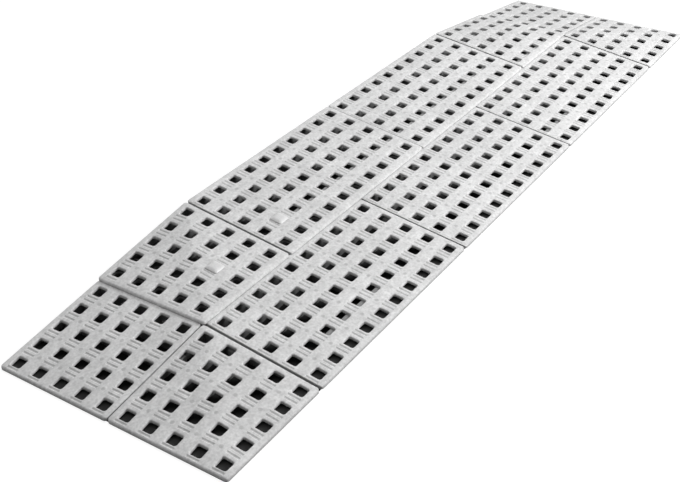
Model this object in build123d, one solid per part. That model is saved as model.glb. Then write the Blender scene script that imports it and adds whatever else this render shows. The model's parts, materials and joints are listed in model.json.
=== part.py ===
"""Three-sided modular threshold ramp, in millimetres.

Moulded grid modules lie in two layers. The front, left and right sides slope to the floor and meet along
two 45-degree hips. The straight high edge at the back stands against the door threshold.
Each module is a plate of square holes on a closed rim, with ribs below it between its rows of holes.
+X runs along the threshold, +Y points at it and +Z is up. The origin is on the floor, under the middle.
"""

from build123d import *
import os

# Grid
pitch = 25.0                # centre to centre of neighbouring holes, both ways
hole_width = 11.5           # square hole through a module's plate
holes_short = 5             # holes across every module
holes_long = 10             # holes along a long module
front_places = ("left", "middle", "right")   # long modules side by side in the front row

# Module sections
layer_height = 20.0         # thick edge of a module, and the height of a flat module
lip_height = 3.0            # thin edge of a sloping module
lip_nose = 1.0              # bevel along the top of the thin edge
lip_overlap = 3.0           # how far the thin edges of the upper layer reach out over the lower layer
corner_cut = 1.5            # bevel at the upright corners of a module
top_plate = 3.0             # plate that carries the tread, above the channels in the underside
rib_wall = 3.0              # rib between two channels
rim_wall = 3.0              # wall round the edge of a module

# Open joints
joint_gap = 1.4             # between neighbouring modules
tight_gap = 0.3             # between the two upper ramps, which stand pushed together
end_gap = 2.4               # between the end modules and the rest of the lower layer

# Lock plugs with domed heads
lock_overlap = 1.3          # how far the head reaches past the hole on each side
lock_rim = 0.8              # straight edge of the head
lock_dome = 1.9             # sloping part of the head above that edge
lock_dome_angle = 55.0      # lean of the head's sides from upright
lock_clearance = 0.3        # free room round the shank
lock_seat = 0.1             # free room under the head
lock_reach = 8.0            # how far the shank goes into the layer below

# Layer keys, driven down beside the front wall of a hole
key_width = 5.0             # front to back
key_clearance = 0.15        # free room at the walls it stands against
key_recess = 2.6            # how far its top lies below the tread
key_reach = 8.0             # how far it goes into the layer below
key_point = 1.2             # bevel at its lower end

# Floor grips, pads that stand up into holes of the front modules
grip_width = 5.6            # front to back
grip_clearance = 0.15       # free room at the walls it stands against
grip_recess = 2.6           # how far its top lies below the tread

# Staples that hold the rims of two modules together from below
staple_width = 9.0          # along the seam
staple_leg = 4.0            # thickness of a leg
staple_strip = 2.5          # strip that joins the two legs
staple_lift = 0.4           # free room under the strip
staple_headroom = 1.8       # free room above the legs
staple_clearance = 0.15     # free room at the rims and in the notch

# Plan, in holes and millimetres
front_modules = len(front_places)
plan_x = 2 * holes_short + front_modules * holes_long
plan_y = 2 * holes_short
last_end = plan_x - holes_short
first_upper_ramp = 2 * holes_short
last_upper_ramp = plan_x - 2 * holes_short
middle_joint = (first_upper_ramp + last_upper_ramp) // 2
module_depth = holes_short * pitch
layer_slope = (layer_height - lip_height) / module_depth
end_shift = end_gap - joint_gap
ramp_shift = (joint_gap - tight_gap) / 2

# Holes that hold the small pieces: rows from the front, columns from the left end
lock_row = holes_short + 1
corner_lock_column = holes_short + 2
ramp_lock_column = first_upper_ramp + 1
left_key_columns = range(ramp_lock_column + 1, middle_joint)
right_key_columns = range(middle_joint, last_upper_ramp - 1)
corner_key_row = holes_short
corner_key_columns = range(last_upper_ramp, last_end - 1)
grip_row = 1
left_grips = 4
left_grip_columns = range(holes_short + 2, holes_short + 2 + left_grips)
right_grips = 3
right_grip_columns = range(last_end - holes_long, last_end - holes_long + right_grips)
low_staple_row = holes_short - 2
end_staple_rows = (low_staple_row, lock_row, lock_row + 2)
row_staple_rows = (low_staple_row, lock_row + 1)


def grid_x(column):
    """X of a grid line, counted in holes from the left end."""
    return (column - plan_x / 2) * pitch


def grid_y(row):
    """Y of a grid line, counted in holes from the front edge."""
    return (row - plan_y / 2) * pitch


def block(x0, x1, y0, y1, z0, z1):
    """Upright box between two corners."""
    middle = Location(((x0 + x1) / 2, (y0 + y1) / 2, (z0 + z1) / 2))
    return middle * Box(x1 - x0, y1 - y0, z1 - z0)


def tread_height(distance):
    """Height of a sloping tread over its module's floor, at a distance from the thin edge."""
    return lip_height + layer_slope * distance


def thin_edge(floor):
    """Where a module's thin edge stands, inwards from the grid line. In the upper layer it reaches outwards."""
    return -lip_overlap if floor > 0 else joint_gap / 2


def slope_profile(floor, drop):
    """Side view of a slope that rises over a module's depth, as a face of (distance, height).

    The face begins half a joint gap outside the thin edge. It goes down one layer below the floor,
    so that a slope lowered by drop still covers the whole run.
    """
    start = thin_edge(floor)
    nose = start + lip_nose
    outside = start - joint_gap / 2
    points = [
        (outside, floor - layer_height),
        (module_depth, floor - layer_height),
        (module_depth, floor + layer_height - drop),
        (nose, floor + tread_height(nose) - drop),
        (start, floor + tread_height(start) - lip_nose - drop),
        (outside, floor + tread_height(outside) - lip_nose - drop),
    ]
    return make_face(Polyline(*points, close=True))


def slope_solid(side, column, row, columns, rows, floor, drop):
    """Everything under one sloping face of a module. side names the edge where the slope is thin.

    The solid reaches past the module's ends by more than its edges do.
    """
    past = lip_overlap + joint_gap
    x0 = grid_x(column)
    x1 = grid_x(column + columns)
    y0 = grid_y(row)
    y1 = grid_y(row + rows)
    width = x1 - x0 + 2 * past
    depth = y1 - y0 + 2 * past
    profile = slope_profile(floor, drop)
    if side == "front":
        return extrude(Plane((x0 - past, y0, 0), x_dir=(0, 1, 0), z_dir=(1, 0, 0)) * profile, amount=width)
    if side == "left":
        return extrude(Plane((x0, y1 + past, 0), x_dir=(1, 0, 0), z_dir=(0, -1, 0)) * profile, amount=depth)
    return extrude(Plane((x1, y0 - past, 0), x_dir=(-1, 0, 0), z_dir=(0, 1, 0)) * profile, amount=depth)


def under_slopes(solid, sides, place, floor, drop=0.0):
    """The part of a solid that lies under every sloping face of a module."""
    for side in sides:
        solid = solid & slope_solid(side, *place, floor, drop)
    return solid


def clear_spans(grid, first, count, step):
    """Spans between a module's rim and its ribs along one axis. A rib stands at every step of holes."""
    lines = [*range(first, first + count, step), first + count]
    rim = joint_gap / 2 + rim_wall
    spans = []
    for low, high in zip(lines, lines[1:]):
        start = grid(low) + (rim if low == lines[0] else rib_wall / 2)
        end = grid(high) - (rim if high == lines[-1] else rib_wall / 2)
        spans.append((start, end))
    return spans


def channels(sides, place, floor):
    """Channels in a module's underside: one below each row of holes that runs across the slope.

    A cross rib closes a channel after every short module's length.
    """
    column, row, columns, rows = place
    across = "front" in sides or not sides
    x_spans = clear_spans(grid_x, column, columns, holes_short if across else 1)
    y_spans = clear_spans(grid_y, row, rows, 1 if across else holes_short)
    top = floor + layer_height - top_plate
    solids = [block(*x_span, *y_span, floor, top) for x_span in x_spans for y_span in y_spans]
    return [under_slopes(solid, sides, place, floor, top_plate) for solid in solids]


def grid_module(sides, place, floor):
    """One moulded module: a plate of square holes on a rim, with ribs and channels below."""
    column, row, columns, rows = place
    middle = Location((grid_x(column + columns / 2), grid_y(row + rows / 2), floor))
    inset = {side: thin_edge(floor) if side in sides else joint_gap / 2 for side in ("left", "right", "front")}
    back = joint_gap / 2
    width = columns * pitch - inset["left"] - inset["right"]
    depth = rows * pitch - inset["front"] - back
    off_middle = Location(((inset["left"] - inset["right"]) / 2, (inset["front"] - back) / 2))
    outline = off_middle * Rectangle(width, depth)
    outline = chamfer(outline.vertices(), corner_cut)
    outline -= GridLocations(pitch, pitch, columns, rows) * Rectangle(hole_width, hole_width)
    body = under_slopes(extrude(middle * outline, amount=layer_height), sides, place, floor)
    return body - channels(sides, place, floor)


def lower_hole(column, row):
    """Centre of a hole of the lower layer. The end modules stand a little further out."""
    x = grid_x(column + 0.5)
    if column < holes_short:
        x -= end_shift
    if column >= last_end:
        x += end_shift
    return x, grid_y(row + 0.5)


def staple_plane(holes):
    """Upright plane across a seam, midway between the two holes beside it, and half the way to a channel."""
    (x0, y0), (x1, y1) = [lower_hole(*hole) for hole in holes]
    span = (x1 - x0) + (y1 - y0)
    along = (1, 0, 0) if x1 > x0 else (0, 1, 0)
    across = (0, -1, 0) if x1 > x0 else (1, 0, 0)
    gap = joint_gap + span - pitch
    plane = Plane(((x0 + x1) / 2, (y0 + y1) / 2, 0), x_dir=along, z_dir=across)
    return plane, gap / 2 + rim_wall


def staple(holes):
    """Staple over the two rims at a seam: a strip below them and a leg behind each one.

    The legs end below the plate where the channels that hold staples are lowest.
    """
    plane, reach = staple_plane(holes)
    inner = reach + staple_clearance
    outer = inner + staple_leg
    strip = staple_lift + staple_strip
    lowest = (low_staple_row + 0.5) * pitch - staple_width / 2
    top = tread_height(lowest) - top_plate - staple_headroom
    points = [
        (-outer, staple_lift), (outer, staple_lift), (outer, top), (inner, top),
        (inner, strip), (-inner, strip), (-inner, top), (-outer, top),
    ]
    profile = make_face(Polyline(*points, close=True))
    return extrude(plane * profile, amount=staple_width / 2, both=True)


def staple_notch(holes):
    """Notch in the foot of both rims that lets a staple's strip pass the seam."""
    plane, reach = staple_plane(holes)
    length = 2 * (reach + staple_clearance)
    height = staple_lift + staple_strip + staple_clearance
    mouth = plane * Location((0, height / 2)) * Rectangle(length, height)
    return extrude(mouth, amount=staple_width / 2 + staple_clearance, both=True)


def layer_key(place, shift, column, row):
    """Half-width key that stands in a hole of an upper module and in the hole below it.

    shift is how far the upper module stands off the grid. The key fits both holes.
    """
    half = (hole_width - abs(shift)) / 2 - key_clearance
    x = grid_x(column + 0.5) + shift / 2
    front = grid_y(row + 0.5) - hole_width / 2 + key_clearance
    back = front + key_width
    low = layer_height - key_reach
    points = [
        (front + key_point, low), (back - key_point, low), (back, low + key_point),
        (back, 2 * layer_height), (front, 2 * layer_height), (front, low + key_point),
    ]
    profile = make_face(Polyline(*points, close=True))
    blank = extrude(Plane((x - half, 0, 0), x_dir=(0, 1, 0), z_dir=(1, 0, 0)) * profile, amount=2 * half)
    return blank & slope_solid("front", *place, layer_height, key_recess)


def floor_grip(place, column, row):
    """Pad that stands on the floor and up into a hole of a front module, against the hole's front wall."""
    half = hole_width / 2 - grip_clearance
    x, y = lower_hole(column, row)
    blank = block(x - half, x + half, y - half, y - half + grip_width, 0, layer_height)
    return blank & slope_solid("front", *place, 0.0, grip_recess)


def lock_plug(shift, column, row):
    """Lock plug: a domed head on the sloping tread and a square shank down into the layer below.

    shift is how far the upper module stands off the grid. The shank fits both holes.
    """
    x = grid_x(column + 0.5) + shift / 2
    y = grid_y(row + 0.5)
    top = layer_height + tread_height((row + 0.5 - holes_short) * pitch) + lock_seat
    seat = Plane((x, y, top), x_dir=(1, 0, 0), z_dir=(0, -layer_slope, 1))
    head_width = hole_width + 2 * lock_overlap
    head = extrude(seat * Rectangle(head_width, head_width), amount=lock_rim)
    dome_base = seat.offset(lock_rim) * Rectangle(head_width, head_width)
    head += extrude(dome_base, amount=lock_dome, taper=lock_dome_angle)
    half = (hole_width - abs(shift)) / 2 - lock_clearance
    shank = block(x - half, x + half, y - half, y + half, layer_height - lock_reach, top)
    return head + shank


# Modules: sides that slope, place as first column, first row, columns and rows, and shift along X
lower_modules = {
    "lower_corner_left": (("front", "left"), (0, 0, holes_short, holes_short), -end_shift),
    "lower_corner_right": (("front", "right"), (last_end, 0, holes_short, holes_short), end_shift),
    "side_ramp_left": (("left",), (0, holes_short, holes_short, holes_short), -end_shift),
    "side_ramp_right": (("right",), (last_end, holes_short, holes_short, holes_short), end_shift),
}
for index, name in enumerate(front_places):
    first = holes_short + index * holes_long
    lower_modules["front_ramp_" + name] = (("front",), (first, 0, holes_long, holes_short), 0.0)
    lower_modules["base_block_" + name] = ((), (first, holes_short, holes_long, holes_short), 0.0)

left_run = middle_joint - first_upper_ramp
right_run = last_upper_ramp - middle_joint
upper_modules = {
    "upper_corner_left": (("front", "left"), (holes_short, holes_short, holes_short, holes_short), 0.0),
    "upper_ramp_left": (("front",), (first_upper_ramp, holes_short, left_run, holes_short), ramp_shift),
    "upper_ramp_right": (("front",), (middle_joint, holes_short, right_run, holes_short), -ramp_shift),
    "upper_corner_right": (("front", "right"), (last_upper_ramp, holes_short, holes_short, holes_short), 0.0),
}


def across_x(line, row):
    """The two holes on either side of a joint that runs front to back."""
    return (line - 1, row), (line, row)


def across_y(column, line):
    """The two holes in front of and behind a joint that runs left to right."""
    return (column, line - 1), (column, line)


# Staples: the pairs of holes beside the seams that each group holds together
staple_groups = {
    "front_seam_staples": [],
    "left_end_staples": [across_x(holes_short, row) for row in end_staple_rows],
    "right_end_staples": [across_x(last_end, row) for row in end_staple_rows],
    "row_staples": [],
}
staple_groups["left_end_staples"].append(across_y(low_staple_row, holes_short))
staple_groups["right_end_staples"].append(across_y(plan_x - 1 - low_staple_row, holes_short))
for index in range(front_modules):
    first = holes_short + index * holes_long
    for column in (first + 1, first + holes_long - 1):
        staple_groups["front_seam_staples"].append(across_y(column, holes_short))
    if index > 0:
        for row in row_staple_rows:
            staple_groups["row_staples"].append(across_x(first, row))


def beside(holes, place):
    """True where one of the two holes beside a staple's seam is in a module."""
    column, row, columns, rows = place
    return any(column <= i < column + columns and row <= j < row + rows for i, j in holes)


parts = {}

all_staples = [holes for group in staple_groups.values() for holes in group]
for name, (sides, place, shift) in lower_modules.items():
    notches = [staple_notch(holes) for holes in all_staples if beside(holes, place)]
    parts[name] = Location((shift, 0, 0)) * grid_module(sides, place, 0.0) - notches

for name, (sides, place, shift) in upper_modules.items():
    parts[name] = Location((shift, 0, 0)) * grid_module(sides, place, layer_height)

for name, group in staple_groups.items():
    parts[name] = Compound(children=[staple(holes) for holes in group])

parts["lock_plug_corner"] = lock_plug(0.0, corner_lock_column, lock_row)
parts["lock_plug_ramp"] = lock_plug(ramp_shift, ramp_lock_column, lock_row)

key_groups = {
    "layer_keys_left": ("upper_ramp_left", lock_row, left_key_columns),
    "layer_keys_right": ("upper_ramp_right", lock_row, right_key_columns),
    "corner_keys_right": ("upper_corner_right", corner_key_row, corner_key_columns),
}
for name, (owner, row, columns) in key_groups.items():
    sides, place, shift = upper_modules[owner]
    parts[name] = Compound(children=[layer_key(place, shift, column, row) for column in columns])

grip_groups = {
    "floor_grips_left": ("front_ramp_left", left_grip_columns),
    "floor_grips_right": ("front_ramp_right", right_grip_columns),
}
for name, (owner, columns) in grip_groups.items():
    sides, place, shift = lower_modules[owner]
    parts[name] = Compound(children=[floor_grip(place, column, grip_row) for column in columns])

os.makedirs("parts", exist_ok=True)
for name, shape in parts.items():
    shape.label = name
    export_step(shape, f"parts/{name}.step")

whole = Compound(children=list(parts.values())).bounding_box()
print("overall size", [round(value, 2) for value in whole.size])
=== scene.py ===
"""Looks of a modular threshold ramp: grid modules in two layers, lock plugs, keys, grips and staples.

Every piece takes its place from the CAD frame, so each one sits where its solid is.
Lengths are metres. +X runs along the threshold, +Y points at it and +Z is up.
"""

import json
import math

import bmesh
import bpy
import numpy as np
from bpy.props import FloatProperty, FloatVectorProperty, IntProperty, PointerProperty
from mathutils import Matrix, Vector


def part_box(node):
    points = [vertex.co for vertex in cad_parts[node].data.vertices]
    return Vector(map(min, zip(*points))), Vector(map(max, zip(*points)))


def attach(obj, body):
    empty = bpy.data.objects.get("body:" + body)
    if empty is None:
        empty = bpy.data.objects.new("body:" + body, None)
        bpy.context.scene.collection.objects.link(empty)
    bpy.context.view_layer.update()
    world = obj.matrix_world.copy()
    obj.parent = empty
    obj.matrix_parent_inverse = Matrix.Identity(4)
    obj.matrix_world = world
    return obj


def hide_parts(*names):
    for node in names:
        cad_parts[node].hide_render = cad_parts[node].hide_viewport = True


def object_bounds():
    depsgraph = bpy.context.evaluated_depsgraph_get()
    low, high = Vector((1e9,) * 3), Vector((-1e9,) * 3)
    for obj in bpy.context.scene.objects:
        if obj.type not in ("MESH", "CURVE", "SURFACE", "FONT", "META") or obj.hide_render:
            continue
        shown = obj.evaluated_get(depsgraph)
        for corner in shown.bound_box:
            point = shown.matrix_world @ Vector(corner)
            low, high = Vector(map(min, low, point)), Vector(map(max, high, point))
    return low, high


bl_info = {
    "name": "Threshold Ramp",
    "version": (1, 0, 0),
    "blender": (4, 5, 0),
    "location": "View3D > Sidebar > Ramp",
    "description": "Dresses the packed solids of a modular threshold ramp",
    "category": "Object",
}

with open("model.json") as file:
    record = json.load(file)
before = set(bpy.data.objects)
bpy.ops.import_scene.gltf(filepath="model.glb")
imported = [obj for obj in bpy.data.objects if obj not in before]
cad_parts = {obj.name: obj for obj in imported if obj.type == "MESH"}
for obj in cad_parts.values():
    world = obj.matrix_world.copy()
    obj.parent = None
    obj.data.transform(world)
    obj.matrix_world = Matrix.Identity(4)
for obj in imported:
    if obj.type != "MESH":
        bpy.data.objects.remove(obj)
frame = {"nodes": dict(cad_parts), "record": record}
CAD_BOX = [list(corner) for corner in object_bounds()]
RECORD = frame["record"]
BODY_OF = {node: body for body, nodes in RECORD["behaviour"]["bodies"].items() for node in nodes}

MM = 0.001
MERGE_DISTANCE = 0.001 * MM
WHITE = (1.0, 1.0, 1.0, 1.0)

# Refractive indices
POLYPROPYLENE_INDEX = 1.49
RUBBER_INDEX = 1.52

# Sides of each module that slope to its floor; a module with none is flat
LOWER_MODULES = {
    "front_ramp_left": ("front",),
    "front_ramp_middle": ("front",),
    "front_ramp_right": ("front",),
    "lower_corner_left": ("front", "left"),
    "lower_corner_right": ("front", "right"),
    "side_ramp_left": ("left",),
    "side_ramp_right": ("right",),
}
BASE_BLOCKS = {
    "base_block_left": (),
    "base_block_middle": (),
    "base_block_right": (),
}
UPPER_MODULES = {
    "upper_corner_left": ("front", "left"),
    "upper_ramp_left": ("front",),
    "upper_ramp_right": ("front",),
    "upper_corner_right": ("front", "right"),
}
ALL_MODULES = {**LOWER_MODULES, **BASE_BLOCKS, **UPPER_MODULES}

# Small pieces, with the module that each one stands in
LOCK_PLUGS = {"lock_plug_corner": "upper_corner_left", "lock_plug_ramp": "upper_ramp_left"}
LAYER_KEYS = {
    "layer_keys_left": "upper_ramp_left",
    "layer_keys_right": "upper_ramp_right",
    "corner_keys_right": "upper_corner_right",
}
FLOOR_GRIPS = {"floor_grips_left": "front_ramp_left", "floor_grips_right": "front_ramp_right"}
STAPLES = ("front_seam_staples", "left_end_staples", "right_end_staples", "row_staples")

# Sides of a hole or a module, anticlockwise
SIDES = ("right", "back", "left", "front")

# Points of the twelve in a ring round a hole that lie along each side and at the corner after it
RING_SIDES = ([11, 0, 1], [2, 3, 4], [5, 6, 7], [8, 9, 10])

# Side of the hole on which the ring's segment after each point lies
SEGMENT_SIDE = np.array([0, 1, 1, 1, 2, 2, 2, 3, 3, 3, 0, 0])

# How far the middle of a quarter circle of radius 1 stays back from its sharp corner, on each axis
ARC_CUT = 1 - math.sqrt(0.5)

# Points on the quarter circle at a corner of each kind of outline
MODULE_ARC_POINTS = 5
BLOCK_ARC_POINTS = 4
MARK_ARC_POINTS = 4
PLUG_ARC_POINTS = 7

# Angles of the rings in the rounded edge of a hole and of a module
HOLE_EDGE_ANGLES = np.radians([0, 45, 90])
MODULE_EDGE_ANGLES = np.radians([0, 30, 60, 90])

# Shares of a groove's width: each of its sloping sides, and from its middle to the ring on its hole's side
GROOVE_SIDE = 0.36
GROOVE_MARGIN = 0.55

# Rings of a gate mark from its rim to its crown, as shares of its radius and of its height
MARK_RADII = np.array([1.0, 0.8, 0.35])
MARK_HEIGHTS = np.array([-0.1, 0.7, 1.0])

# Profile of a lock plug's head in millimetres: distance in from its rim and height above its seat
PLUG_HEAD = ((0.25, 0), (0, 0.25), (0, 0.7), (0.3, 1.0), (1.3, 1.68), (2.3, 2.3), (3.3, 2.6), (5, 2.68))

# Shares of painted shade on the plastic, from 0 for none to 1 for the full shade colour
JOINT_SHADE = 0.7
FRONT_EDGE_SHADE = 0.35
FOOT_SHADE = 0.8
BACK_FOOT_SHADE = 0.25
HOLE_FOOT_SHADE = 0.4
CHANNEL_SHADE = 1.0
GROOVE_SHADE = 0.3
MARK_SHADE = (0.0, 0.18, 0.36)

# How much of its share of painted shade each ring in the rounded edge of a module has
EDGE_SHADE_RISE = np.array([0, 0.15, 0.5, 1])

# Edges that turn by more than this stay sharp
SHARP_ANGLE = math.radians(50)
PLUG_SHARP_ANGLE = math.radians(35)


def linear(hex_colour):
    """Linear RGBA of an sRGB hex colour."""
    srgb = np.array([int(hex_colour[i:i + 2], 16) for i in (1, 3, 5)]) / 255
    rgb = np.where(srgb <= 0.04045, srgb / 12.92, ((srgb + 0.055) / 1.055) ** 2.4)
    return (*rgb.tolist(), 1.0)


def length(name, description, millimetres):
    """A length property, given in millimetres and kept in metres."""
    return FloatProperty(
        name=name, description=description, default=millimetres * MM, unit="LENGTH", precision=5
    )


def colour(name, description, hex_colour):
    """A colour property, given as sRGB hex and kept linear."""
    return FloatVectorProperty(
        name=name, description=description, default=linear(hex_colour),
        size=4, subtype="COLOR", min=0, max=1,
    )


def position(name, description, metres):
    """A place property of a lamp or the camera, in metres."""
    return FloatVectorProperty(name=name, description=description, default=metres, unit="LENGTH")


def degrees(name, description, value):
    """An angle property, given in degrees and kept in radians."""
    return FloatProperty(name=name, description=description, default=math.radians(value), subtype="ANGLE")


def watts(name, description, value):
    """A power property of a lamp, in watts."""
    return FloatProperty(name=name, description=description, default=value, unit="POWER")


def level(name, description, value):
    """A property for a plain strength of light, where 1 is white."""
    return FloatProperty(name=name, description=description, default=value)


class RampSizes(bpy.types.PropertyGroup):
    """Sizes of the moulded modules and of the detail on their treads."""

    pitch: length("Pitch", "Centre to centre of neighbouring holes", 25.0)
    holes_short: IntProperty(name="Short side", description="Holes across a module", default=5, min=1)
    hole_width: length("Hole width", "Square hole through a module's plate", 11.5)
    hole_corner: length("Hole corner", "Radius of a hole's upright corners", 1.8)
    hole_round: length("Hole edge", "Radius of the edge round the top of a hole", 0.9)
    layer_height: length("Layer height", "Thick edge of a module", 20.0)
    lip_height: length("Lip height", "Thin edge of a sloping module", 3.0)
    lip_overlap: length("Lip overlap", "Reach of the upper layer's thin edges over the lower layer", 3.0)
    joint_gap: length("Joint gap", "Open joint between neighbouring modules", 1.4)
    top_plate: length("Plate", "Plate that carries the tread", 3.0)
    rim_wall: length("Rim", "Wall round the edge of a module", 3.0)
    rib_wall: length("Rib", "Rib between two channels in the underside", 3.0)
    corner_round: length("Module corner", "Radius of a module's upright corners", 3.0)
    edge_round: length("Module edge", "Radius along the thick top edges of a module", 0.7)
    lip_round: length("Lip edge", "Radius along the thin edges of a module", 2.0)
    groove_spacing: length("Groove spacing", "Centre to centre of the two grooves between holes", 4.9)
    groove_shift: length("Groove shift", "Offset of each pair of grooves to the right of the middle", 0.6)
    groove_end: length("End groove", "Centre of an end groove from the start of the rounded edge", 1.5)
    groove_width: length("Groove width", "Width of a tread groove", 2.8)
    groove_length: length("Groove length", "Length of a tread groove", 13.5)
    groove_depth: length("Groove depth", "Depth of a tread groove", 0.52)
    mark_width: length("Gate mark width", "Diameter of the moulding gate's mark between four holes", 4.8)
    mark_height: length("Gate mark height", "How far a gate mark stands up", 0.12)
    block_round: length("Block edge", "Radius along the top and bottom edges of keys and grips", 0.6)
    block_corner: length("Block corner", "Radius of the upright corners of keys and grips", 1.5)
    plug_gap: length("Plug gap", "Gap between a lock plug's shank and each side of its hole", 0.6)
    plug_seat: length("Plug seat", "Gap between a lock plug's head and the tread", 0.1)
    plug_corner: length("Plug corner", "Radius of the corners of a lock plug's head", 2.2)
    shank_corner: length("Shank corner", "Radius of the corners of a lock plug's shank", 1.0)


class RampColours(bpy.types.PropertyGroup):
    """Colours of the plastics, the rubber and the stage."""

    module: colour("Modules", "Light grey moulded plastic", "#D9D9D9")
    module_dark: colour("Module shade", "Darker cloud in the module plastic", "#CBCBCB")
    # Dark colour of the painted shade in the grooves, joints, holes and under the plate
    grime: colour("Grime", "Dust and floor dirt in the grooves and under the plate", "#7C7C7C")
    # Painted shade: the base blocks are black so that the holes over them read dark
    base: colour("Base blocks", "Black recycled plastic", "#444444")
    lock: colour("Lock plugs", "Pale grey satin plastic", "#D6D6D6")
    joiner: colour("Keys and staples", "Grey moulded plastic", "#909090")
    grip: colour("Floor grips", "Grey rubber", "#868686")
    floor: colour("Floor", "Floor as it lights the ramp", "#6E6E6E")
    floor_shade: colour("Floor shade", "Share of the seen floor that takes the shadow", "#8A8A8A")
    # Painted shade: a dark sheet under the ramp that darkens what shows through the holes
    shade_sheet: colour("Underlay", "Dark sheet under the ramp", "#3E3E3E")


class RampStage(bpy.types.PropertyGroup):
    """Camera and light."""

    lens: FloatProperty(name="Lens", description="Focal length", default=58.69, unit="CAMERA")
    sensor: FloatProperty(name="Sensor", description="Width of the sensor", default=36.0, unit="CAMERA")
    camera: position("Camera", "Place of the camera", (-0.9445, -0.5359, 0.6073))
    azimuth: degrees("Azimuth", "Camera's turn about Z from looking along +Y", -55.603)
    elevation: degrees("Elevation", "Camera's height above the horizon", 33.179)
    roll: degrees("Roll", "Camera's turn about its line of sight", -1.207)
    key_place: position("Key light", "Place of the soft light in front of the ramp", (0.55, -1.06, 0.80))
    key_size: length("Key size", "Side of the soft light", 480)
    key_power: watts("Key power", "Power of the soft light", 20.5)
    fill_place: position("Fill light", "Place of the large panel above the ramp", (0.3, -0.1, 3.0))
    fill_size: length("Fill size", "Side of the large panel", 2000)
    fill_power: watts("Fill power", "Power of the large panel", 25.0)
    back_place: position("Back light", "Place of the panel behind the ramp", (0.0, 2.2, 1.0))
    back_size: length("Back size", "Side of the panel behind", 2000)
    back_power: watts("Back power", "Power of the panel behind", 14.0)
    world_level: level("World level", "Strength of the light from all round", 0.19)
    floor_glow: level("Floor glow", "Share of the seen floor that no shadow darkens", 0.88)


def add_node(tree, kind, inputs=None, **settings):
    """One shader node. inputs maps a socket's name or number to a value or to the socket that feeds it."""
    node = tree.nodes.new(kind)
    for name, value in settings.items():
        setattr(node, name, value)
    for socket, value in (inputs or {}).items():
        if isinstance(value, bpy.types.NodeSocket):
            tree.links.new(value, node.inputs[socket])
        else:
            node.inputs[socket].default_value = value
    return node


def new_material(name):
    """An empty node material and its tree."""
    material = bpy.data.materials.new(name)
    material.use_nodes = True
    material.node_tree.nodes.clear()
    return material, material.node_tree


def per_size(millimetres):
    """Noise scale at which one cell of the pattern is that many millimetres wide on Object coordinates."""
    return 1 / (millimetres * MM)


def module_plastic(colours):
    """Light grey polypropylene, injection moulded with a fine spark-eroded grain.

    To the eye it is matte, with faint flow clouds some centimetres wide, a fine grain that breaks the
    highlights, and small dull scuffs. The real grain is about 0.4 mm, drawn at 2.4 mm so that it shows.
    Painted shade darkens it in the grooves, the joints, down the holes, along the feet of the walls and
    under the plate, by a share stored on the mesh's points.
    """
    name = "moulded_polypropylene"
    cloud_mm = 45
    grain_mm = 2.4
    scuff_mm = 7
    if name in bpy.data.materials:
        return bpy.data.materials[name]
    material, tree = new_material(name)
    point = add_node(tree, "ShaderNodeTexCoord").outputs["Object"]
    cloud = add_node(
        tree, "ShaderNodeTexNoise", {"Vector": point, "Scale": per_size(cloud_mm), "Detail": 3.0}
    ).outputs["Fac"]
    grain = add_node(
        tree, "ShaderNodeTexNoise", {"Vector": point, "Scale": per_size(grain_mm), "Detail": 2.0}
    ).outputs["Fac"]
    scuff = add_node(
        tree, "ShaderNodeTexNoise", {"Vector": point, "Scale": per_size(scuff_mm), "Detail": 5.0}
    ).outputs["Fac"]
    shade = add_node(
        tree, "ShaderNodeMapRange",
        {"Value": cloud, "From Min": 0.35, "From Max": 0.68, "To Min": 0.0, "To Max": 0.75},
    )
    clouded = add_node(
        tree, "ShaderNodeMix",
        {"Factor": shade.outputs["Result"], "A": colours.module, "B": colours.module_dark},
        data_type="RGBA",
    )
    speck = add_node(
        tree, "ShaderNodeMapRange",
        {"Value": grain, "From Min": 0.3, "From Max": 0.7, "To Min": 0.87, "To Max": 1.10},
    )
    speckled = add_node(
        tree, "ShaderNodeMix",
        {"Factor": 1.0, "A": clouded.outputs["Result"], "B": speck.outputs["Result"]},
        data_type="RGBA", blend_type="MULTIPLY",
    )
    wear = add_node(
        tree, "ShaderNodeMapRange",
        {"Value": scuff, "From Min": 0.35, "From Max": 0.7, "To Min": 0.91, "To Max": 1.08},
    )
    scuffed = add_node(
        tree, "ShaderNodeMix",
        {"Factor": 1.0, "A": speckled.outputs["Result"], "B": wear.outputs["Result"]},
        data_type="RGBA", blend_type="MULTIPLY",
    )
    # Painted shade: the mesh's share blends the dark shade colour in
    shade_share = add_node(tree, "ShaderNodeAttribute", attribute_name="grime")
    shaded = add_node(
        tree, "ShaderNodeMix",
        {"Factor": shade_share.outputs["Fac"], "A": scuffed.outputs["Result"], "B": colours.grime},
        data_type="RGBA",
    )
    rough = add_node(
        tree, "ShaderNodeMapRange",
        {"Value": scuff, "From Min": 0.35, "From Max": 0.7, "To Min": 0.55, "To Max": 0.70},
    )
    bump = add_node(
        tree, "ShaderNodeBump", {"Height": grain, "Strength": 0.25, "Distance": 0.2 * MM}
    )
    shader = add_node(
        tree, "ShaderNodeBsdfPrincipled",
        {
            "Base Color": shaded.outputs["Result"], "Roughness": rough.outputs["Result"],
            "Normal": bump.outputs["Normal"], "IOR": POLYPROPYLENE_INDEX, "Specular IOR Level": 0.35,
        },
    )
    add_node(tree, "ShaderNodeOutputMaterial", {"Surface": shader.outputs["BSDF"]})
    return material


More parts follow.
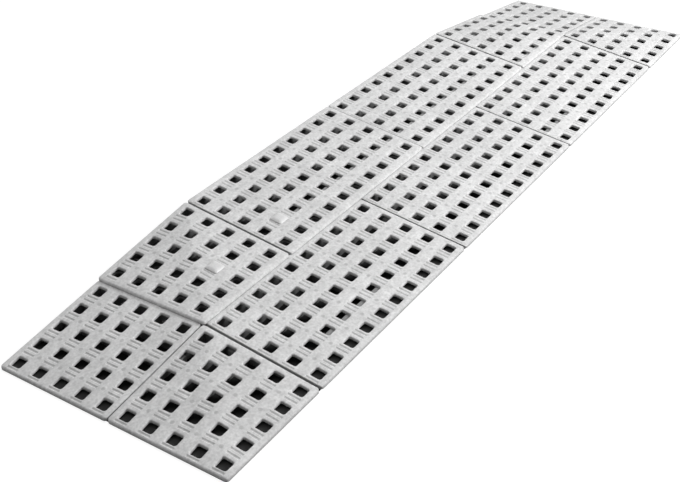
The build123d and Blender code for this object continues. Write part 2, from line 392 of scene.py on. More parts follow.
def moulded_material(name, base, index, roughness, grain_mm):
    """A moulded material of one colour. index is its IOR, and grain_mm the width of a grain as drawn."""
    if name in bpy.data.materials:
        return bpy.data.materials[name]
    material, tree = new_material(name)
    point = add_node(tree, "ShaderNodeTexCoord").outputs["Object"]
    grain = add_node(
        tree, "ShaderNodeTexNoise", {"Vector": point, "Scale": per_size(grain_mm), "Detail": 3.0}
    ).outputs["Fac"]
    speck = add_node(
        tree, "ShaderNodeMapRange",
        {"Value": grain, "From Min": 0.3, "From Max": 0.7, "To Min": 0.93, "To Max": 1.04},
    )
    tinted = add_node(
        tree, "ShaderNodeMix", {"Factor": 1.0, "A": base, "B": speck.outputs["Result"]},
        data_type="RGBA", blend_type="MULTIPLY",
    )
    bump = add_node(
        tree, "ShaderNodeBump", {"Height": grain, "Strength": 0.2, "Distance": 0.15 * MM}
    )
    shader = add_node(
        tree, "ShaderNodeBsdfPrincipled",
        {
            "Base Color": tinted.outputs["Result"], "Roughness": roughness,
            "Normal": bump.outputs["Normal"], "IOR": index,
        },
    )
    add_node(tree, "ShaderNodeOutputMaterial", {"Surface": shader.outputs["BSDF"]})
    return material


def base_shade_plastic(colours):
    """Black polypropylene, injection moulded: matte and a little uneven. Its black is painted shade, so that
    the holes over the blocks read dark.

    Its grain of about 0.4 mm is drawn at 1.4 mm so that it shows.
    """
    return moulded_material(
        "base_shade_polypropylene", colours.base, POLYPROPYLENE_INDEX, roughness=0.6, grain_mm=1.4
    )


def lock_plastic(colours):
    """Pale polypropylene from a polished mould: satin, so that a lock plug's dome takes a soft highlight.

    Its faint flow marks are drawn 1.2 mm wide.
    """
    return moulded_material(
        "satin_polypropylene", colours.lock, POLYPROPYLENE_INDEX, roughness=0.36, grain_mm=1.2
    )


def joiner_plastic(colours):
    """Grey polypropylene, injection moulded with a fine grain: matte.

    Its grain of about 0.4 mm is drawn at 1.2 mm so that it shows.
    """
    return moulded_material(
        "moulded_joiner_plastic", colours.joiner, POLYPROPYLENE_INDEX, roughness=0.5, grain_mm=1.2
    )


def grip_rubber(colours):
    """Grey soft rubber, compression moulded: dull, with hardly a highlight.

    Its grain of about 0.3 mm is drawn at 0.9 mm so that it shows.
    """
    return moulded_material("moulded_rubber", colours.grip, RUBBER_INDEX, roughness=0.78, grain_mm=0.9)


def box_corners(node):
    """Lowest and highest corner of a CAD node, as arrays."""
    low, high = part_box(node)
    return np.array(low), np.array(high)


class GridModule:
    """Plan and tread of one module, read from the box of its CAD node.

    left, right, front and back are the lines of the grid that bound its cells. inset, rounds and outline
    follow the order of SIDES: how far the outline stays inside each of those lines, the radius of its top
    edge, and its place. inset is below 0 where a thin edge of the upper layer reaches over the lower one.
    """

    def __init__(self, node, sizes):
        low, high = box_corners(node)
        self.node = node
        self.sides = ALL_MODULES[node]
        self.sizes = sizes
        self.floor = low[2]
        thin = -sizes.lip_overlap if node in UPPER_MODULES else sizes.joint_gap / 2
        slopes = np.array([side in self.sides for side in SIDES])
        self.inset = np.where(slopes, thin, sizes.joint_gap / 2)
        self.rounds = np.where(slopes, sizes.lip_round, sizes.edge_round)
        self.right, self.back = high[:2] + self.inset[:2]
        self.left, self.front = low[:2] - self.inset[2:]
        self.outline = np.concatenate([high[:2], low[:2]])
        self.columns = round((self.right - self.left) / sizes.pitch)
        self.rows = round((self.back - self.front) / sizes.pitch)
        self.x = self.left + (np.arange(self.columns) + 0.5) * sizes.pitch
        self.y = self.front + (np.arange(self.rows) + 0.5) * sizes.pitch

    def tread(self, x, y):
        """Height of the tread: the lowest of the planes that rise from the thin edges, or the flat top."""
        sizes = self.sizes
        distances = {"front": y - self.front, "left": x - self.left, "right": self.right - x}
        slope = (sizes.layer_height - sizes.lip_height) / (sizes.holes_short * sizes.pitch)
        height = np.full(np.broadcast(x, y).shape, sizes.layer_height)
        for side in self.sides:
            height = np.minimum(height, sizes.lip_height + slope * distances[side])
        return self.floor + height

    def edge_shade(self, side):
        """Painted shade at the top of a side's wall: the joints and the lower layer's front edge take some.
        """
        if side == "front" and self.node in LOWER_MODULES:
            return FRONT_EDGE_SHADE
        return 0.0 if side == "back" or side in self.sides else JOINT_SHADE

    def foot_shade(self, points):
        """Painted shade along the foot of the outer walls: less at the back, which stands against the
        threshold.
        """
        at_back = points[..., 1] > self.back - self.sizes.joint_gap
        return np.where(at_back, BACK_FOOT_SHADE, FOOT_SHADE)

    def at_edges(self, inside, edges):
        """One value for each side of each hole, as (columns, rows, 4).

        The value is inside, or along the module's edges the one that edges holds for that side.
        """
        values = np.full((self.columns, self.rows, 4), inside)
        values[-1, :, 0], values[:, -1, 1], values[0, :, 2], values[:, 0, 3] = edges
        return values

    def reaches(self, inset):
        """Distances from each hole to the sides of its cell, as (columns, rows, 4).

        A cell ends half a pitch from its hole, and at the module's edges it ends inset from the outline.
        """
        half = self.sizes.pitch / 2
        return self.at_edges(half, half - self.inset - inset)

    def channel_reaches(self):
        """Distances from each hole to the walls of the channel below it, as (columns, rows, 4).

        Ribs stand between the rows of holes that run across the slope, and a cross rib after every short
        module's length. Where a channel runs on, its reach is half a pitch.
        """
        sizes = self.sizes
        across = "front" in self.sides or not self.sides
        step_x = sizes.holes_short if across else 1
        step_y = 1 if across else sizes.holes_short
        half = sizes.pitch / 2
        reach = self.at_edges(half, np.full(4, half - sizes.joint_gap / 2 - sizes.rim_wall))
        rib = half - sizes.rib_wall / 2
        reach[step_x - 1:-1:step_x, :, 0] = rib
        reach[step_x::step_x, :, 2] = rib
        reach[:, step_y - 1:-1:step_y, 1] = rib
        reach[:, step_y::step_y, 3] = rib
        return reach


def ring(module, reach, cut, height):
    """Twelve points round every hole, anticlockwise, as (columns, rows, 12, 3).

    Each corner has the end of one straight side, a point cut back along the diagonal and the start of
    the next side. reach holds the distances to the four sides, and height gives z from x and y.
    """
    sizes = module.sizes
    cells = (module.columns, module.rows, 4)
    right, back, left, front = np.moveaxis(np.broadcast_to(reach, cells), -1, 0)
    cuts = np.broadcast_to(cut, cells)
    straight = np.full_like(right, sizes.hole_width / 2 - sizes.hole_corner)
    x = np.stack([
        right, right - cuts[..., 0], straight, -straight, cuts[..., 1] - left, -left,
        -left, cuts[..., 2] - left, -straight, straight, right - cuts[..., 3], right,
    ], -1) + module.x[:, None, None]
    y = np.stack([
        straight, back - cuts[..., 0], back, back, back - cuts[..., 1], straight,
        -straight, cuts[..., 2] - front, -front, -front, cuts[..., 3] - front, -straight,
    ], -1) + module.y[None, :, None]
    return np.stack([x, y, np.broadcast_to(height(x, y), x.shape)], -1)


class Faces:
    """Vertices and faces of one mesh, gathered as whole arrays. Each vertex has a share of painted shade."""

    def __init__(self):
        self.points = []
        self.grime = []
        self.polygons = []
        self.smooth = []
        self.count = 0

    def add(self, points, polygons, smooth, grime=0.0):
        """Adds polygons, given as rows of numbers into points. The share of painted shade is one value, or
        one a point.
        """
        points = np.asarray(points, float).reshape(-1, 3)
        self.points.append(points)
        self.grime.append(np.broadcast_to(grime, len(points)))
        self.polygons.extend((np.asarray(polygons) + self.count).tolist())
        self.smooth.extend([smooth] * len(polygons))
        self.count += len(points)

    def add_strip(self, first, second, smooth, keep=None, grime=(0.0, 0.0)):
        """Quads between two closed rows of points, given as (..., points, 3). keep marks those to make."""
        start = np.arange(first[..., 0].size).reshape(first.shape[:-1])
        step = np.roll(start, -1, -1)
        quads = np.stack([start, step, step + start.size, start + start.size], -1)
        quads = quads.reshape(-1, 4) if keep is None else quads[keep]
        points = np.concatenate([first.reshape(-1, 3), second.reshape(-1, 3)])
        shares = np.concatenate([np.broadcast_to(share, start.size) for share in grime])
        self.add(points, quads, smooth, grime=shares)

    def add_loft(self, rings, smooth=True, base=True, grime=None):
        """Skins through stacked rings, given as (copies, rings, points, 3), with flat ends.

        Without base the first ring stays open. The painted shade holds one share for each ring.
        """
        levels = np.moveaxis(rings, 1, 0)
        shares = np.zeros(len(levels)) if grime is None else np.asarray(grime)
        for step in range(len(levels) - 1):
            self.add_strip(levels[step], levels[step + 1], smooth, grime=shares[step:step + 2])
        copies, points = levels.shape[1:3]
        order = np.arange(copies * points).reshape(copies, points)
        self.add(levels[-1], order, smooth, grime=shares[-1])
        if base:
            self.add(levels[0], order[:, ::-1], smooth=False, grime=shares[0])

    def mesh(self, name, sharp_angle):
        """The mesh, with coinciding points merged and edges past sharp_angle kept sharp.

        Marking the sharp edges makes every face smooth, so the flat faces are set flat again after it.
        """
        mesh = bpy.data.meshes.new(name)
        mesh.from_pydata(np.concatenate(self.points).tolist(), [], self.polygons)
        mesh.polygons.foreach_set("use_smooth", self.smooth)
        grime = mesh.attributes.new("grime", "FLOAT", "POINT")
        grime.data.foreach_set("value", np.concatenate(self.grime))
        work = bmesh.new()
        work.from_mesh(mesh)
        bmesh.ops.remove_doubles(work, verts=work.verts, dist=MERGE_DISTANCE)
        work.to_mesh(mesh)
        work.free()
        smooth = np.empty(len(mesh.polygons), bool)
        mesh.polygons.foreach_get("use_smooth", smooth)
        mesh.set_sharp_from_angle(angle=sharp_angle)
        mesh.polygons.foreach_set("use_smooth", smooth)
        return mesh


def add_grooved_side(faces, module, side, outer, inner, centre, chosen):
    """Tread between two rings on the right (0) or left (2) side of the chosen holes, with a groove in it.

    outer and inner are rings as (columns, rows, 12, 3), and centre holds the groove's distance from each
    hole. The groove is a rectangle whose sides slope to a narrower bottom. The left side is the right side
    turned by half a turn about the hole.
    """
    sizes = module.sizes
    along = [RING_SIDES[side - 1][-1], *RING_SIDES[side]]
    sign = 1 if side == 0 else -1
    corner_x = np.array([-1, 1, 1, -1])
    corner_y = np.array([-1, -1, 1, 1])

    def rectangle(inset, drop):
        x = centre[..., None] + corner_x * (sizes.groove_width / 2 - inset)
        y = np.broadcast_to(corner_y * (sizes.groove_length / 2 - inset), x.shape)
        x = module.x[:, None, None] + sign * x
        y = module.y[None, :, None] + sign * y
        return np.stack([x, y, module.tread(x, y) - drop], -1)[chosen]

    # Points 0 to 3 lie on the inner ring, 4 to 7 on the outer ring and 8 to 11 round the mouth of the groove
    mouth = rectangle(0, 0)
    land = np.concatenate([inner[chosen][:, along], outer[chosen][:, along], mouth], 1)
    start = np.arange(len(land))[:, None] * land.shape[1]
    for polygon in ([0, 8, 11, 3, 2, 1], [11, 10, 7, 3], [9, 4, 5, 6, 7, 10], [0, 4, 9, 8]):
        faces.add(land, start + np.array(polygon), smooth=True)
    bottom = rectangle(sizes.groove_width * GROOVE_SIDE, sizes.groove_depth)
    # Painted shade darkens the bottom of each groove
    faces.add_loft(np.stack([mouth, bottom], 1), smooth=False, base=False, grime=(0.0, GROOVE_SHADE))


def add_tread(faces, module, outer_ring, hole_edge):
    """Tread from the edges of the cells to the ring round each hole, with a groove along Y on each X side.

    A module has no groove at its right end, and the one at its left end keeps clear of the rounded edge.
    """
    sizes = module.sizes
    outer = module.reaches(module.rounds)
    ends = module.at_edges(False, np.full(4, True))
    shift = np.array([1, 0, -1, 0]) * sizes.groove_shift
    usual = (sizes.pitch - sizes.groove_spacing) / 2 + shift
    centre = np.where(ends, np.minimum(usual, outer - sizes.groove_end), usual)
    inner_ring = ring(module, centre - sizes.groove_width * GROOVE_MARGIN, 0, module.tread)
    grooved = np.zeros_like(ends)
    grooved[..., 0] = ~ends[..., 0]
    grooved[..., 2] = True
    faces.add_strip(outer_ring, inner_ring, smooth=True, keep=~grooved[..., SEGMENT_SIDE])
    for side in (0, 2):
        add_grooved_side(
            faces, module, side, outer_ring, inner_ring, centre[..., side], grooved[..., side]
        )
    faces.add_strip(inner_ring, hole_edge, smooth=True)


def add_outer_wall(faces, module, tread):
    """The wall round a module: a profile carried round the edge of the tread, given by the cells' rings.

    The profile is a quarter ellipse and an upright line to the module's floor. Its way out is square to each
    straight side, and at a corner it fans over the corner's arc. On the floor, slivers close the space
    between each arc and the straight foot of its corner's cell.
    """
    sizes = module.sizes
    side_cells = (tread[-1], tread[::-1, -1], tread[0, ::-1], tread[:, 0])
    fan = np.linspace(0, math.pi / 2, MODULE_ARC_POINTS)
    shade_share = np.array([module.edge_shade(side) for side in SIDES])
    path = []
    way_out = []
    radii = []
    edge_shade = []
    corner_starts = []
    for side, cells in enumerate(side_cells):
        points = cells[:, RING_SIDES[side]].reshape(-1, 3)
        straight = len(points) - 1
        turn = side * math.pi / 2 + fan
        normals = np.column_stack([np.cos(turn), np.sin(turn)])
        sign = np.rint(normals[0] + normals[-1])
        corner = np.where(sign > 0, module.outline[:2], module.outline[2:])
        arc = corner - sign * sizes.corner_round + sizes.corner_round * normals
        next_share = np.concatenate([np.zeros(straight), np.sin(fan) ** 2])
        corner_starts.append(sum(map(len, path)) + straight)
        path.append(np.concatenate([points[:-1], np.repeat(points[-1:], MODULE_ARC_POINTS, 0)]))
        way_out.append(np.tile(normals[0] * module.rounds[side], (straight, 1)))
        way_out.append(arc - points[-1, :2])
        for values, result in ((module.rounds, radii), (shade_share, edge_shade)):
            result.append(values[side] + (np.roll(values, -1)[side] - values[side]) * next_share)
    path = np.concatenate(path)
    way_out = np.concatenate(way_out)
    radii = np.concatenate(radii)

    rings = []
    for angle in MODULE_EDGE_ANGLES:
        plan = path[:, :2] + way_out * math.sin(angle)
        z = module.tread(plan[:, 0], plan[:, 1]) - radii * (1 - math.cos(angle))
        rings.append(np.column_stack([plan, z]))
    # Painted shade on the rounded edge, rising towards the wall
    shares = EDGE_SHADE_RISE[:, None] * np.concatenate(edge_shade)
    for step in range(len(rings) - 1):
        faces.add_strip(
            rings[step + 1], rings[step], smooth=True, grime=(shares[step + 1], shares[step])
        )
    foot = rings[-1] * [1, 1, 0] + [0, 0, module.floor]
    # Painted shade darkens the wall towards its foot
    faces.add_strip(foot, rings[-1], smooth=True, grime=(module.foot_shade(foot), shares[-1]))
    middle = MODULE_ARC_POINTS // 2
    before = np.arange(middle, -2, -1)
    slivers = np.add.outer(corner_starts, [before, before + middle + 1]).reshape(-1, len(before))
    faces.add(foot, slivers % len(foot), smooth=False, grime=module.foot_shade(foot))


def add_module_body(faces, module, textured):
    """A module's body: one profile carried round every hole, and the wall round the outline.

    The profile goes from the edge of a hole's cell over the tread, round the hole's edge and down its wall,
    out under the plate to the channel, down the channel's walls and out along the foot of the ribs.
    """
    sizes = module.sizes
    half = sizes.hole_width / 2

    def under(drop):
        return lambda x, y: module.tread(x, y) - drop

    def on_floor(x, y):
        return np.full_like(x, module.floor)

    # The four corners of the module. Its tread is rounded only at those between two thick edges
    corners = np.zeros((module.columns, module.rows, 4))
    corners[-1, -1, 0] = corners[0, -1, 1] = corners[0, 0, 2] = corners[-1, 0, 3] = ARC_CUT
    thick = np.maximum(module.rounds, np.roll(module.rounds, -1)) == sizes.edge_round
    tread_cut = corners * np.where(thick, sizes.corner_round - sizes.edge_round, 0)
    tread = ring(module, module.reaches(module.rounds), tread_cut, under(0))
    edges = []
    for angle in HOLE_EDGE_ANGLES:
        out = sizes.hole_round * (1 - math.sin(angle))
        down = sizes.hole_round * (1 - math.cos(angle))
        edges.append(ring(module, half + out, (sizes.hole_corner + out) * ARC_CUT, under(down)))
    wall_foot = ring(module, half, sizes.hole_corner * ARC_CUT, under(sizes.top_plate))
    channel = module.channel_reaches()
    ceiling = ring(module, channel, 0, under(sizes.top_plate))
    channel_foot = ring(module, channel, 0, on_floor)
    outline_foot = ring(module, module.reaches(0), corners * sizes.corner_round, on_floor)

    if textured:
        add_tread(faces, module, tread, edges[0])
    else:
        faces.add_strip(tread, edges[0], smooth=True)
    for upper, lower in zip(edges, edges[1:]):
        faces.add_strip(upper, lower, smooth=True)
    # Painted shade darkens each hole's wall towards its foot, and the channels under the plate fully
    faces.add_strip(edges[-1], wall_foot, smooth=True, grime=(0.0, HOLE_FOOT_SHADE))
    faces.add_strip(wall_foot, ceiling, smooth=False, grime=(HOLE_FOOT_SHADE, CHANNEL_SHADE))
    walled = ~np.isclose(channel, sizes.pitch / 2)[..., SEGMENT_SIDE]
    foot_shades = module.foot_shade(outline_foot).ravel()
    faces.add_strip(
        ceiling, channel_foot, smooth=False, keep=walled, grime=(CHANNEL_SHADE, CHANNEL_SHADE)
    )
    faces.add_strip(
        channel_foot, outline_foot, smooth=False, keep=walled, grime=(CHANNEL_SHADE, foot_shades)
    )
    add_outer_wall(faces, module, tread)


def rounded_rectangle(half_x, half_y, corner, arc_points):
    """Outline of a rectangle, anticlockwise, with arc_points points on a quarter circle at each corner."""
    turn = np.linspace(0, math.pi / 2, arc_points) + np.arange(4)[:, None] * math.pi / 2
    x = np.array([1, -1, -1, 1])[:, None] * (half_x - corner) + corner * np.cos(turn)
    y = np.array([1, 1, -1, -1])[:, None] * (half_y - corner) + corner * np.sin(turn)
    return np.column_stack([x.ravel(), y.ravel()])


def raised(module, centres, outlines, heights):
    """Rings at every centre, as (copies, rings, points, 3): each outline lies its height above the tread."""
    plan = centres[:, None, None, :] + np.stack(outlines)[None]
    z = module.tread(plan[..., 0], plan[..., 1]) + np.array(heights)[None, :, None]
    return np.concatenate([plan, z[..., None]], -1)


def add_gate_marks(faces, module):
    """A low round mark between each four holes, where the mould was filled. Painted shade darkens its
    middle.
    """
    sizes = module.sizes
    outlines = [
        rounded_rectangle(radius, radius, radius, MARK_ARC_POINTS)
        for radius in MARK_RADII * sizes.mark_width / 2
    ]
    centres = np.stack(np.meshgrid(module.x[:-1], module.y[:-1], indexing="ij"), -1).reshape(-1, 2)
    rings = raised(module, centres + sizes.pitch / 2, outlines, MARK_HEIGHTS * sizes.mark_height)
    faces.add_loft(rings, grime=MARK_SHADE)


def add_piece(name, faces, node, material, sharp_angle=SHARP_ANGLE):
    """Links a piece that stands for a CAD node, rides on its body and takes its slot."""
    piece = bpy.data.objects.new(name, faces.mesh(name, sharp_angle))
    piece.data.materials.append(material)
    bpy.context.scene.collection.objects.link(piece)
    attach(piece, BODY_OF[node])
    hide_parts(node)


def build_modules(context, names, material, textured):
    """Modules of one kind, with or without tread detail."""
    for name in names:
        module = GridModule(name, context.scene.ramp_sizes)
        faces = Faces()
        add_module_body(faces, module, textured)
        if textured:
            add_gate_marks(faces, module)
        add_piece(name + "_moulding", faces, name, material)


class RAMP_OT_lower_modules(bpy.types.Operator):
    """Front ramps, lower corners and side ramps of the lower layer."""

    bl_idname = "ramp.lower_modules"
    bl_label = "Lower modules"

    def execute(self, context):
        build_modules(context, LOWER_MODULES, module_plastic(context.scene.ramp_colours), textured=True)
        return {"FINISHED"}


class RAMP_OT_base_blocks(bpy.types.Operator):
    """Flat modules that carry the upper layer."""

    bl_idname = "ramp.base_blocks"
    bl_label = "Base blocks"

    def execute(self, context):
        build_modules(context, BASE_BLOCKS, base_shade_plastic(context.scene.ramp_colours), textured=False)
        return {"FINISHED"}


class RAMP_OT_upper_modules(bpy.types.Operator):
    """Ramps and corners of the upper layer."""

    bl_idname = "ramp.upper_modules"
    bl_label = "Upper modules"

    def execute(self, context):
        build_modules(context, UPPER_MODULES, module_plastic(context.scene.ramp_colours), textured=True)
        return {"FINISHED"}


def lock_plug_rings(module, low, high):
    """Rings of a lock plug from the foot of its shank to the crown of its head, as (rings, points, 3).

    low and high are the corners of the plug's box. The shank is upright, with a bevelled foot. The head is
    square to the tread: an upright rim, then sides that lean in and round off into a flat crown.
    """
    sizes = module.sizes
    foot_bevel = 0.8 * MM
    foot_corner = 0.6 * MM
    foot_height = 1.0 * MM
    neck_height = 1.2 * MM
    rim_margin = 0.02 * MM
    crown_corner_share = 0.8
    x = (low[0] + high[0]) / 2
    y = module.y[np.abs(module.y - (low[1] + high[1]) / 2).argmin()]
    half_head = (high[0] - low[0]) / 2 - rim_margin
    half_shank = sizes.hole_width / 2 - sizes.plug_gap
    seat = module.tread(x, y) + sizes.plug_seat
    up = np.array([0, module.tread(x, y) - module.tread(x, y + MM), MM])
    up = up / np.linalg.norm(up)
    back = np.array([0, up[2], -up[1]])
    right = np.array([1.0, 0, 0])

    def on_head(half, corner, height):
        plan = rounded_rectangle(half, half, corner, PLUG_ARC_POINTS)
        return np.array([x, y, seat]) + plan[:, :1] * right + plan[:, 1:] * back + height * up

    def on_shank(half, corner, z):
        plan = rounded_rectangle(half, half, corner, PLUG_ARC_POINTS) + [x, y]
        return np.column_stack([plan, np.full(len(plan), z)])

    rings = [
        on_shank(half_shank - foot_bevel, foot_corner, low[2]),
        on_shank(half_shank, sizes.shank_corner, low[2] + foot_height),
        on_shank(half_shank, sizes.shank_corner, seat - neck_height),
        on_head(half_shank, sizes.shank_corner, 0),
    ]
    for inset, height in np.array(PLUG_HEAD) * MM:
        half = half_head - inset
        rings.append(on_head(half, min(sizes.plug_corner, crown_corner_share * half), height))
    return np.stack(rings)


class RAMP_OT_lock_plugs(bpy.types.Operator):
    """Lock plugs: a domed square head that lies on the tread and a square shank to the layer below."""

    bl_idname = "ramp.lock_plugs"
    bl_label = "Lock plugs"

    def execute(self, context):
        material = lock_plastic(context.scene.ramp_colours)
        for name, owner in LOCK_PLUGS.items():
            module = GridModule(owner, context.scene.ramp_sizes)
            faces = Faces()
            faces.add_loft(lock_plug_rings(module, *box_corners(name))[None])
            add_piece(name + "_domed", faces, name, material, PLUG_SHARP_ANGLE)
        return {"FINISHED"}


def block_rings(module, low, high):
    """Rings of a row of upright blocks a pitch apart, as (copies, rings, points, 3).

    The row fills the box from low to high. Each block is a rounded rectangle in plan, and its top runs
    parallel to the tread with rounded edges.
    """
    pitch = module.sizes.pitch
    edge = module.sizes.block_round
    corner = module.sizes.block_corner
    shoulder = 0.3 * edge
    copies = int((high[0] - low[0]) / pitch) + 1
    half_x = (high[0] - low[0] - (copies - 1) * pitch) / 2
    half_y = (high[1] - low[1]) / 2
    x = low[0] + half_x + np.arange(copies) * pitch
    centres = np.column_stack([x, np.full(copies, low[1] + half_y)])
    recess = module.tread(low[0] + half_x, high[1]) - high[2]
    full, rounded, small = [
        rounded_rectangle(half_x - inset, half_y - inset, corner - inset, BLOCK_ARC_POINTS)
        for inset in (0, shoulder, edge)
    ]
    drops = recess + np.array([edge, shoulder, 0])
    tops = raised(module, centres, [full, rounded, small], -drops)
    feet = raised(module, centres, [small, full], [0, 0])
    feet[..., 2] = low[2] + np.array([0, edge])[None, :, None]
    return np.concatenate([feet, tops], 1)


def build_blocks(context, groups, material):
    """Rows of keys or grips, each row standing for its CAD node."""
    for name, owner in groups.items():
        module = GridModule(owner, context.scene.ramp_sizes)
        faces = Faces()
        faces.add_loft(block_rings(module, *box_corners(name)))
        add_piece(name + "_rounded", faces, name, material)


class RAMP_OT_layer_keys(bpy.types.Operator):
    """Keys that stand in holes of the upper layer and in the holes below them."""

    bl_idname = "ramp.layer_keys"
    bl_label = "Layer keys"

    def execute(self, context):
        build_blocks(context, LAYER_KEYS, joiner_plastic(context.scene.ramp_colours))
        return {"FINISHED"}


class RAMP_OT_floor_grips(bpy.types.Operator):
    """Rubber pads that stand on the floor in holes of the front modules."""

    bl_idname = "ramp.floor_grips"
    bl_label = "Floor grips"

    def execute(self, context):
        build_blocks(context, FLOOR_GRIPS, grip_rubber(context.scene.ramp_colours))
        return {"FINISHED"}


class RAMP_OT_staples(bpy.types.Operator):
    """Staples under the seams: the CAD solids with their plastic."""

    bl_idname = "ramp.staples"
    bl_label = "Staples"

    def execute(self, context):
        material = joiner_plastic(context.scene.ramp_colours)
        for name in STAPLES:
            node = frame["nodes"][name]
            node.data.materials.clear()
            node.data.materials.append(material)
        return {"FINISHED"}


def seen_or_mirrored(tree):
    """1 for camera, glossy and transmitted rays, otherwise 0."""
    path = add_node(tree, "ShaderNodeLightPath")
    first = add_node(
        tree, "ShaderNodeMath",
        {0: path.outputs["Is Camera Ray"], 1: path.outputs["Is Glossy Ray"]}, operation="MAXIMUM",
    )
    return add_node(
        tree, "ShaderNodeMath",
        {0: first.outputs["Value"], 1: path.outputs["Is Transmission Ray"]}, operation="MAXIMUM",
    ).outputs["Value"]


def floor_material(colours, stage):
    """Matte pale paper: white where it is seen, with the object's shadow left as a soft grey."""
    material, tree = new_material("pale_paper_floor")
    lit = add_node(tree, "ShaderNodeBsdfDiffuse", {"Color": colours.floor})
    shade = add_node(tree, "ShaderNodeBsdfDiffuse", {"Color": colours.floor_shade})
    glow = add_node(tree, "ShaderNodeEmission", {"Color": WHITE, "Strength": stage.floor_glow})
    seen = add_node(tree, "ShaderNodeAddShader", {0: shade.outputs["BSDF"], 1: glow.outputs["Emission"]})
    mixed = add_node(
        tree, "ShaderNodeMixShader",
        {"Fac": seen_or_mirrored(tree), 1: lit.outputs["BSDF"], 2: seen.outputs["Shader"]},
    )
    add_node(tree, "ShaderNodeOutputMaterial", {"Surface": mixed.outputs["Shader"]})
    return material


def shade_sheet_material(colours):
    """A dark matte sheet of painted shade under the ramp, so that the holes over it look deep."""
    material, tree = new_material("painted_shade_sheet")
    cloth = add_node(tree, "ShaderNodeBsdfDiffuse", {"Color": colours.shade_sheet})
    add_node(tree, "ShaderNodeOutputMaterial", {"Surface": cloth.outputs["BSDF"]})
    return material


def add_sheet(name, low, high, z, material):
    """A flat sheet of the stage."""
    mesh = bpy.data.meshes.new(name)
    corners = [(low[0], low[1], z), (high[0], low[1], z), (high[0], high[1], z), (low[0], high[1], z)]
    mesh.from_pydata(corners, [], [(0, 1, 2, 3)])
    mesh.materials.append(material)
    sheet = bpy.data.objects.new(name, mesh)
    bpy.context.scene.collection.objects.link(sheet)


def add_world(scene, stage):
    """Light from all round, and white where it is seen."""
    world = bpy.data.worlds.new("studio")
    scene.world = world
    world.use_nodes = True
    tree = world.node_tree
    tree.nodes.clear()
    light = add_node(tree, "ShaderNodeBackground", {"Color": WHITE, "Strength": stage.world_level})
    white = add_node(tree, "ShaderNodeBackground", {"Color": WHITE, "Strength": 1.0})
    mixed = add_node(
        tree, "ShaderNodeMixShader",
        {
            "Fac": seen_or_mirrored(tree),
            1: light.outputs["Background"], 2: white.outputs["Background"],
        },
    )
    add_node(tree, "ShaderNodeOutputWorld", {"Surface": mixed.outputs["Shader"]})


def add_lamp(scene, name, place, size, power):
    """A square area lamp that faces the origin."""
    lamp = bpy.data.lights.new(name, "AREA")
    lamp.shape = "SQUARE"
    lamp.size = size
    lamp.energy = power
    holder = bpy.data.objects.new(name, lamp)
    place = Vector(place)
    holder.matrix_world = Matrix.Translation(place) @ place.to_track_quat("Z", "Y").to_matrix().to_4x4()
    scene.collection.objects.link(holder)


def add_camera(scene, stage):
    """Camera from its place, azimuth, elevation and roll."""
    nearest = 0.01
    farthest = 100.0
    camera = bpy.data.cameras.new("camera")
    camera.sensor_width = stage.sensor
    camera.lens = stage.lens
    camera.clip_start = nearest
    camera.clip_end = farthest
    turn = stage.azimuth
    lift = stage.elevation
    back = Vector((math.sin(turn) * math.cos(lift), -math.cos(turn) * math.cos(lift), math.sin(lift)))
    level_right = Vector((math.cos(turn), math.sin(turn), 0))
    right = math.cos(stage.roll) * level_right + math.sin(stage.roll) * back.cross(level_right)
    up = back.cross(right)
    shot = bpy.data.objects.new("camera", camera)
    axes = Matrix((right, up, back)).transposed().to_4x4()
    shot.matrix_world = Matrix.Translation(Vector(stage.camera)) @ axes
    scene.collection.objects.link(shot)
    scene.camera = shot


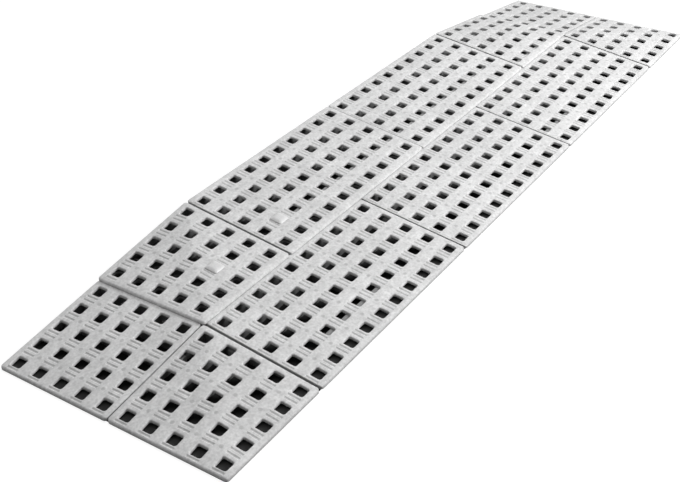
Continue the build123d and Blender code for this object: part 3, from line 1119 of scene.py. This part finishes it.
class RAMP_OT_stage(bpy.types.Operator):
    """Pale floor, a dark sheet of painted shade under the ramp, soft light and the camera."""

    bl_idname = "ramp.stage"
    bl_label = "Stage"

    def execute(self, context):
        scene = context.scene
        stage = scene.ramp_stage
        colours = scene.ramp_colours
        floor_half = np.full(2, 30.0)
        floor_drop = 1.0 * MM
        shade_sheet_drop = 0.5 * MM
        shade_sheet_inset = 1.5 * MM
        low, high = np.array(CAD_BOX)[:, :2]
        add_sheet("floor", -floor_half, floor_half, -floor_drop, floor_material(colours, stage))
        # A dark sheet under the ramp: painted shade for what shows through the holes
        add_sheet(
            "shade_sheet", low + shade_sheet_inset, high - shade_sheet_inset, -shade_sheet_drop,
            shade_sheet_material(colours),
        )
        add_world(scene, stage)
        add_lamp(scene, "key_light", stage.key_place, stage.key_size, stage.key_power)
        add_lamp(scene, "fill_light", stage.fill_place, stage.fill_size, stage.fill_power)
        add_lamp(scene, "back_light", stage.back_place, stage.back_size, stage.back_power)
        add_camera(scene, stage)
        scene.view_settings.view_transform = "Standard"
        return {"FINISHED"}


OPERATORS = (
    RAMP_OT_lower_modules,
    RAMP_OT_base_blocks,
    RAMP_OT_upper_modules,
    RAMP_OT_lock_plugs,
    RAMP_OT_layer_keys,
    RAMP_OT_floor_grips,
    RAMP_OT_staples,
    RAMP_OT_stage,
)


class RAMP_PT_sidebar(bpy.types.Panel):
    """Lists the ramp's pieces."""

    bl_label = "Threshold ramp"
    bl_idname = "RAMP_PT_sidebar"
    bl_space_type = "VIEW_3D"
    bl_region_type = "UI"
    bl_category = "Ramp"

    def draw(self, context):
        for operator in OPERATORS:
            self.layout.operator(operator.bl_idname)


GROUPS = {"ramp_sizes": RampSizes, "ramp_colours": RampColours, "ramp_stage": RampStage}


def register():
    """Registers the classes and gives every scene the groups of sizes, colours and stage values."""
    for group in GROUPS.values():
        bpy.utils.register_class(group)
    for name, group in GROUPS.items():
        setattr(bpy.types.Scene, name, PointerProperty(type=group))
    for operator in OPERATORS:
        bpy.utils.register_class(operator)
    bpy.utils.register_class(RAMP_PT_sidebar)


def unregister():
    """Takes back what register does, in the opposite order."""
    bpy.utils.unregister_class(RAMP_PT_sidebar)
    for operator in reversed(OPERATORS):
        bpy.utils.unregister_class(operator)
    for name in GROUPS:
        delattr(bpy.types.Scene, name)
    for group in reversed(GROUPS.values()):
        bpy.utils.unregister_class(group)


def main():
    """Registers the add-on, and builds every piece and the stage."""
    register()
    bpy.ops.ramp.lower_modules()
    bpy.ops.ramp.base_blocks()
    bpy.ops.ramp.upper_modules()
    bpy.ops.ramp.lock_plugs()
    bpy.ops.ramp.layer_keys()
    bpy.ops.ramp.floor_grips()
    bpy.ops.ramp.staples()
    bpy.ops.ramp.stage()


if __name__ == "__main__":
    main()
